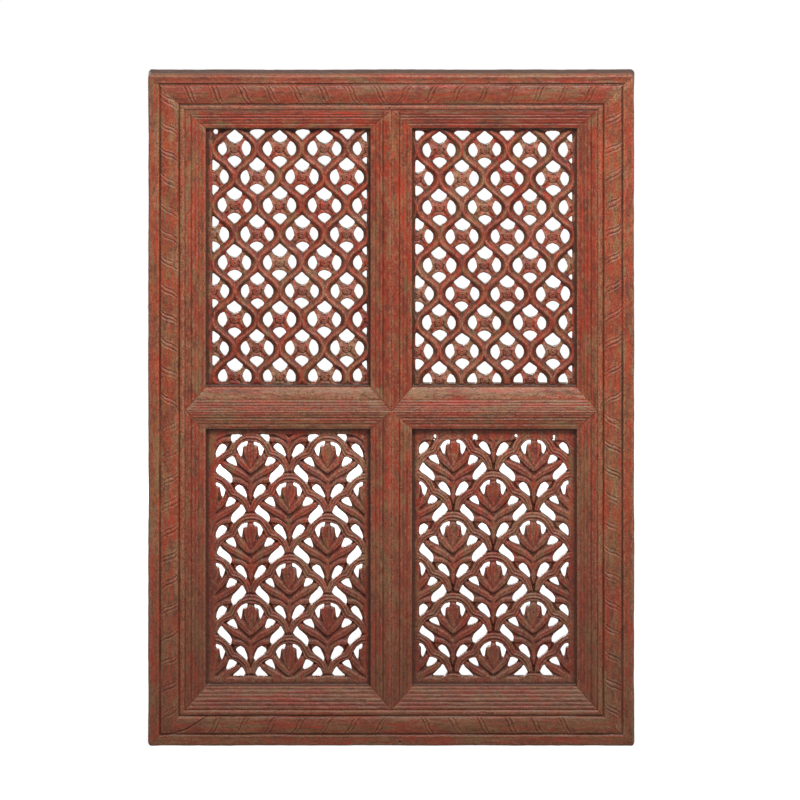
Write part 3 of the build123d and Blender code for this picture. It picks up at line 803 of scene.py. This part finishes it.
# ------------------------------------------------------------------ materials
class Tree:
    """Writes a node tree: each node with its values and links in one call."""

    def __init__(self, tree):
        self.tree = tree
        tree.nodes.clear()

    def set(self, node, values):
        """Give each named or numbered input its value or its link."""
        for key, value in values.items():
            socket = node.inputs[key]
            if isinstance(value, bpy.types.NodeSocket):
                self.tree.links.new(value, socket)
            else:
                socket.default_value = value

    def add(self, kind, values=None, **settings):
        """Make a node with its settings and inputs."""
        node = self.tree.nodes.new(kind)
        for key, value in settings.items():
            setattr(node, key, value)
        self.set(node, values or {})
        return node

    def math(self, operation, *values, clamp=False):
        """Result of one operation on numbers."""
        node = self.add("ShaderNodeMath", operation=operation, use_clamp=clamp)
        self.set(node, dict(enumerate(values)))
        return node.outputs[0]

    def attribute(self, name, output="Fac"):
        """Field that make_piece stored on the mesh."""
        return self.add("ShaderNodeAttribute", attribute_name=name).outputs[output]

    def noise(self, vector, scale, detail, rough):
        """Noise of a place, finer the larger the scale along each axis."""
        stretched = self.add("ShaderNodeVectorMath", {0: vector, 1: scale}, operation="MULTIPLY").outputs[0]
        values = {"Vector": stretched, "Scale": 1.0, "Detail": detail, "Roughness": rough}
        return self.add("ShaderNodeTexNoise", values).outputs[0]

    def remap(self, value, low, high, to_low=0.0, to_high=1.0):
        """Smooth step of a value, from to_low at low to to_high at high."""
        values = {0: value, 1: low, 2: high, 3: to_low, 4: to_high}
        return self.add("ShaderNodeMapRange", values, interpolation_type="SMOOTHSTEP").outputs[0]

    def mix(self, factor, first, second):
        """Colour between two others."""
        return self.add("ShaderNodeMix", {0: factor, 6: first, 7: second}, data_type="RGBA").outputs[2]

    def bump(self, height, strength, distance):
        """Surface direction over a height."""
        values = {"Strength": strength, "Distance": distance, "Height": height}
        return self.add("ShaderNodeBump", values).outputs[0]


def new_material(name):
    """An empty material and the tree that writes its nodes."""
    material = bpy.data.materials.new(name)
    material.use_nodes = True
    return material, Tree(material.node_tree)


def rgb(red, green, blue):
    """Linear colour of an sRGB value out of 255."""
    def linear(c):
        c /= 255
        return c / 12.92 if c <= 0.04045 else ((c + 0.055) / 1.055) ** 2.4

    return (linear(red), linear(green), linear(blue), 1.0)


# Wood where the paint has gone, raw wood of the sides and back, and then stains, dirt with painted shade
# for the crevices, and painted shade with grime for the foot and top
WOODS = (rgb(142, 86, 52), rgb(170, 126, 78), rgb(106, 62, 44))
DARK_RAW = (rgb(88, 62, 44), rgb(116, 84, 60))
PALE_RAW = (rgb(140, 108, 84), rgb(172, 142, 114))
OLIVE, MAUVE, TAN = rgb(140, 108, 66), rgb(122, 60, 56), rgb(148, 120, 76)
BRICK, SCARLET, ORANGE = rgb(186, 58, 34), rgb(204, 62, 34), rgb(190, 62, 30)
UMBER, SAND = rgb(84, 46, 32), rgb(196, 132, 96)
DIRT_AND_SHADE, SPECKS = rgb(54, 35, 24), rgb(72, 40, 30)
SHADE_AND_GRIME = (rgb(78, 32, 20), rgb(114, 62, 44))


def stained(tree, grain, colour, stain):
    """Lay patches, lines and flecks of other colours over a colour."""
    hue = tree.noise(grain, (70, 170, 170), 3, 0.6)
    colour = tree.mix(tree.remap(hue, 0.53, 0.65, 0, stain), colour, OLIVE)
    colour = tree.mix(tree.remap(hue, 0.47, 0.36, 0, stain), colour, MAUVE)
    region = tree.noise(grain, (12, 46, 46), 3, 0.6)
    colour = tree.mix(tree.remap(region, 0.54, 0.64, 0, 0.6), colour, TAN)
    colour = tree.mix(tree.remap(region, 0.45, 0.34, 0, 0.45), colour, BRICK)
    line = tree.noise(grain, (9, 150, 150), 2, 0.5)
    colour = tree.mix(tree.remap(line, 0.57, 0.66, 0, 0.7), colour, SCARLET)
    shade = tree.noise(grain, (26, 70, 70), 5, 0.7)
    colour = tree.mix(tree.remap(shade, 0.47, 0.33, 0, 0.55), colour, UMBER)
    colour = tree.mix(tree.remap(shade, 0.54, 0.68, 0, 0.3), colour, SAND)
    fleck = tree.noise(grain, (48, 150, 150), 4, 0.7)
    return tree.mix(tree.remap(fleck, 0.54, 0.63, 0, 0.7), colour, ORANGE)


def worn_paint(name, reds, raws, chalk, cover, rub, stain):
    """Old red paint over brown wood, chalky on its ridges where worn and as a painted highlight, and dark
    in its crevices with dirt and painted shade.
    """
    material, tree = new_material(name)
    grain = tree.attribute("grain", "Vector")
    cavity, bare, tone, worn = (tree.attribute(key) for key in ("cavity", "bare", "tone", "worn"))
    patch = tree.noise(grain, (9, 26, 26), 4, 0.6)
    other = tree.noise(grain, (16, 40, 40), 3, 0.55)
    streak = tree.noise(grain, (30, 190, 190), 5, 0.65)
    fibre = tree.noise(grain, (130, 800, 800), 3, 0.6)
    speck = tree.noise(grain, (330, 380, 380), 3, 0.7)
    mottle = tree.noise(grain, (110, 130, 130), 4, 0.65)
    grit = tree.noise(grain, (900, 900, 900), 2, 0.6)

    red = tree.mix(tree.remap(other, 0.42, 0.6), reds[0], reds[1])
    red = tree.mix(tree.remap(mottle, 0.5, 0.64, 0, 0.8), red, reds[2])
    wood = tree.mix(tree.remap(streak, 0.4, 0.6), WOODS[0], WOODS[1])
    wood = tree.mix(tree.remap(mottle, 0.5, 0.36, 0, 0.8), wood, WOODS[2])

    # Where the paint is left, and the raw wood of the sides and back
    amount = tree.math("MULTIPLY_ADD", patch, 1.0, tree.math("MULTIPLY", streak, 0.5))
    amount = tree.math("MULTIPLY_ADD", mottle, 0.5, amount)
    amount = tree.math("MULTIPLY_ADD", tone, 0.12, amount)
    amount = tree.math("MULTIPLY_ADD", worn, -0.3, amount)
    colour = tree.mix(tree.remap(amount, 1.1 - cover, 1.24 - cover), wood, red)
    colour = stained(tree, grain, colour, stain)
    outside = tree.remap(tree.math("MULTIPLY_ADD", streak, 0.4, bare), 0.7, 1.1)
    raw = tree.mix(tree.remap(streak, 0.35, 0.65), raws[0], raws[1])
    colour = tree.mix(outside, colour, raw)

    # Chalky where it is worn, with a painted highlight on the crests; then dirt and painted shade in the
    # crevices, dark specks, and painted shade with grime at the foot and top
    foot = tree.remap(tone, 0.35, -0.75)
    # Crests and scratches go chalky: worn paint and a painted highlight; the worn field also carries the
    # panels' painted highlights
    ridge = tree.remap(tree.math("MULTIPLY_ADD", mottle, -1.0, cavity), -0.5, -1.3)
    scratch = tree.remap(tree.math("ADD", fibre, speck), 0.84, 1.2)
    ridge_rub_and_highlight = tree.math("MULTIPLY_ADD", foot, 0.35, rub)
    rub_and_highlight = tree.math("MULTIPLY_ADD", worn, 0.5, tree.math("MULTIPLY_ADD", ridge, ridge_rub_and_highlight, 0.12))
    colour = tree.mix(tree.math("MULTIPLY", scratch, rub_and_highlight, clamp=True), colour, chalk)
    # Crevices go dark: dirt and painted shade
    crevice = tree.remap(tree.math("MULTIPLY_ADD", streak, 0.5, cavity), 0.6, 1.9, 0, 0.8)
    colour = tree.mix(crevice, colour, DIRT_AND_SHADE)
    dark = tree.remap(tree.math("ADD", speck, grit), 0.98, 0.76, 0, 0.65)
    colour = tree.mix(dark, colour, SPECKS)
    place = tree.add("ShaderNodeTexCoord").outputs["Object"]
    level = tree.add("ShaderNodeSeparateXYZ", {0: place}).outputs["Z"]
    # Painted shade with some grime: darker towards the foot, along the top, and on pieces of low tone
    ends = tree.math("ADD", tree.remap(level, 0.6, 0.02, 0, 0.34), tree.remap(level, 1.13, 1.26, 0, 0.18))
    shade_and_grime = tree.mix(streak, *SHADE_AND_GRIME)
    colour = tree.mix(tree.math("MULTIPLY_ADD", foot, 0.3, ends), colour, shade_and_grime)

    height = tree.math("MULTIPLY_ADD", fibre, 0.6, tree.math("MULTIPLY", speck, 0.7))
    height = tree.math("MULTIPLY_ADD", grit, 0.3, height)
    surface = tree.add("ShaderNodeBsdfPrincipled", {
        "Base Color": colour,
        "Roughness": tree.remap(speck, 0.35, 0.65, 0.26, 0.62),
        "Normal": tree.bump(height, 0.7, 0.0009),
        "Specular IOR Level": 0.5,
    })
    tree.add("ShaderNodeOutputMaterial", {"Surface": surface.outputs[0]})
    return material


def bare_wood(name, axis, tones):
    """Aged unpainted wood for the hidden bars and pegs, with its grain along one axis."""
    def stretched(across, along):
        return [along if k == axis else across for k in range(3)]

    material, tree = new_material(name)
    place = tree.add("ShaderNodeTexCoord").outputs["Object"]
    streak = tree.noise(place, stretched(60, 8), 5, 0.6)
    fibre = tree.noise(place, stretched(420, 40), 4, 0.6)
    blotch = tree.noise(place, stretched(14, 6), 3, 0.5)
    colour = tree.mix(tree.remap(streak, 0.35, 0.65), *tones)
    colour = tree.mix(tree.remap(blotch, 0.4, 0.7, 0, 0.5), colour, rgb(140, 108, 80))
    colour = tree.mix(tree.remap(fibre, 0.5, 0.3, 0, 0.5), colour, rgb(52, 36, 28))
    surface = tree.add("ShaderNodeBsdfPrincipled", {
        "Base Color": colour,
        "Roughness": tree.remap(fibre, 0.3, 0.7, 0.65, 0.85),
        "Normal": tree.bump(fibre, 0.5, 0.0006),
    })
    tree.add("ShaderNodeOutputMaterial", {"Surface": surface.outputs[0]})
    return material


frame_paint = worn_paint(
    "frame_paint", (rgb(178, 68, 36), rgb(142, 68, 44), rgb(184, 102, 58)), DARK_RAW,
    chalk=rgb(208, 154, 120), cover=0.2, rub=0.4, stain=0.52,
)
moulding_paint = worn_paint(
    "moulding_paint", (rgb(172, 58, 34), rgb(134, 62, 40), rgb(178, 94, 58)), DARK_RAW,
    chalk=rgb(208, 150, 118), cover=0.22, rub=0.45, stain=0.52,
)
jali_paint = worn_paint(
    "jali_paint", (rgb(168, 56, 32), rgb(130, 56, 44), rgb(172, 86, 58)), PALE_RAW,
    chalk=rgb(214, 154, 128), cover=0.25, rub=0.45, stain=0.85,
)

GRID = 1.25
JALI_GRID = 1.32
FRAME_RECT = (-HALF_W, HALF_W, 0, SCREEN_H)
for number, side in enumerate(SIDES):
    node = f"stile_{side}" if side in ("left", "right") else f"{side}_rail"
    sweep(
        f"{node}_carved", side, FRAME_RECT, member_section(side, GRID), (MEMBER_W, MEMBER_W), GRID * 0.9,
        member_relief(side, 100 + number * 20), node, "frame_wood", frame_paint, 200 + number,
    )

for number, (place, rect) in enumerate(RECTS.items()):
    jali(place, JALI_GRID, jali_paint, 300 + number * 40)
    for index, side in enumerate(SIDES):
        key = 500 + number * 50 + index * 10
        kind = side if side in ("top", "bottom") else "outer" if place.endswith(side) else "centre"
        if place.startswith("upper") and side == "bottom":
            kind = "sill"
        sweep(
            f"moulding_{place}_{side}_reeded", side, rect, strip_section(kind, STRIP_W[side], GRID * 0.8),
            MITRES[side], GRID * 1.5, strip_relief(place, side, key),
            f"moulding_{place}_{side}", "moulding_wood", moulding_paint, key,
        )

# The hidden bars and pegs stay as the CAD has them, each with its grain along its length
X, Y, Z = range(3)
BAR_TONES = (rgb(112, 82, 58), rgb(84, 58, 42))
upright_wood = bare_wood("upright_wood", Z, BAR_TONES)
level_wood = bare_wood("level_wood", X, BAR_TONES)
peg_wood = bare_wood("peg_wood", Y, (rgb(72, 50, 36), rgb(52, 36, 26)))
for names, wood in (
    (("mullion",), upright_wood),
    (("cross_rail_left", "cross_rail_right"), level_wood),
    (("corner_pegs", "mullion_pegs", "cross_rail_pegs"), peg_wood),
):
    for name in names:
        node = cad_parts[name]
        node.data.materials.clear()
        node.data.materials.append(wood)

# ------------------------------------------------------------------ floor, light and camera
IMAGE_W = 800
PIXEL = 1.8705 * MM
VIEW_DOWN = math.radians(12)
VIEW_DISTANCE = 6
AIM = Vector((0.0164, 0, 0.6575))
FLOOR_REACH = 12
SKY_LIGHT = 0.36


def backdrop_material(name, colour, glow):
    """Pale floor that looks white to the camera and keeps the object's shadow."""
    material, tree = new_material(name)
    matt = tree.add("ShaderNodeBsdfDiffuse", {"Color": colour})
    light = tree.add("ShaderNodeEmission", {"Strength": glow})
    seen = tree.add("ShaderNodeLightPath").outputs["Is Camera Ray"]
    lit = tree.add("ShaderNodeAddShader", {0: matt.outputs[0], 1: light.outputs[0]})
    both = tree.add("ShaderNodeMixShader", {0: seen, 1: matt.outputs[0], 2: lit.outputs[0]})
    tree.add("ShaderNodeOutputMaterial", {"Surface": both.outputs[0]})
    return material


floor_mesh = bpy.data.meshes.new("floor")
floor_corners = [(x * FLOOR_REACH, y * FLOOR_REACH, 0) for x, y in ((-1, -1), (1, -1), (1, 1), (-1, 1))]
floor_mesh.from_pydata(floor_corners, [], [(0, 1, 2, 3)])
floor_mesh.materials.append(backdrop_material("floor_white", (0.5, 0.5, 0.5, 1), 0.82))
floor = bpy.data.objects.new("floor", floor_mesh)
bpy.context.scene.collection.objects.link(floor)

# White to the camera, and a dimmer light on the screen
world = bpy.data.worlds.new("studio")
world.use_nodes = True
bpy.context.scene.world = world
sky = Tree(world.node_tree)
seen = sky.add("ShaderNodeLightPath").outputs["Is Camera Ray"]
dim, white = (
    sky.add("ShaderNodeBackground", {"Color": (1, 1, 1, 1), "Strength": strength}).outputs[0]
    for strength in (SKY_LIGHT, 1)
)
both = sky.add("ShaderNodeMixShader", {0: seen, 1: dim, 2: white})
sky.add("ShaderNodeOutputWorld", {"Surface": both.outputs[0]})


def lamp(name, place, size, power):
    """Soft rectangular lamp aimed at the middle of the screen."""
    data = bpy.data.lights.new(name, "AREA")
    data.shape = "RECTANGLE"
    data.size, data.size_y = size
    data.energy = power
    made = bpy.data.objects.new(name, data)
    made.location = place
    made.rotation_euler = (AIM - Vector(place)).to_track_quat("-Z", "Y").to_euler()
    bpy.context.scene.collection.objects.link(made)


lamp("key", (0.4, -1.85, 2.6), (0.9, 0.6), 50)
lamp("behind", (-0.8, 2.6, 0.7), (1.6, 1.2), 26)

camera = bpy.data.cameras.new("camera")
camera.type = "ORTHO"
camera.ortho_scale = IMAGE_W * PIXEL
camera_object = bpy.data.objects.new("camera", camera)
camera_object.location = AIM + VIEW_DISTANCE * Vector((0, -math.cos(VIEW_DOWN), math.sin(VIEW_DOWN)))
camera_object.rotation_euler = (math.pi / 2 - VIEW_DOWN, 0, 0)
bpy.context.scene.collection.objects.link(camera_object)
bpy.context.scene.camera = camera_object
bpy.context.scene.view_settings.view_transform = "Standard"
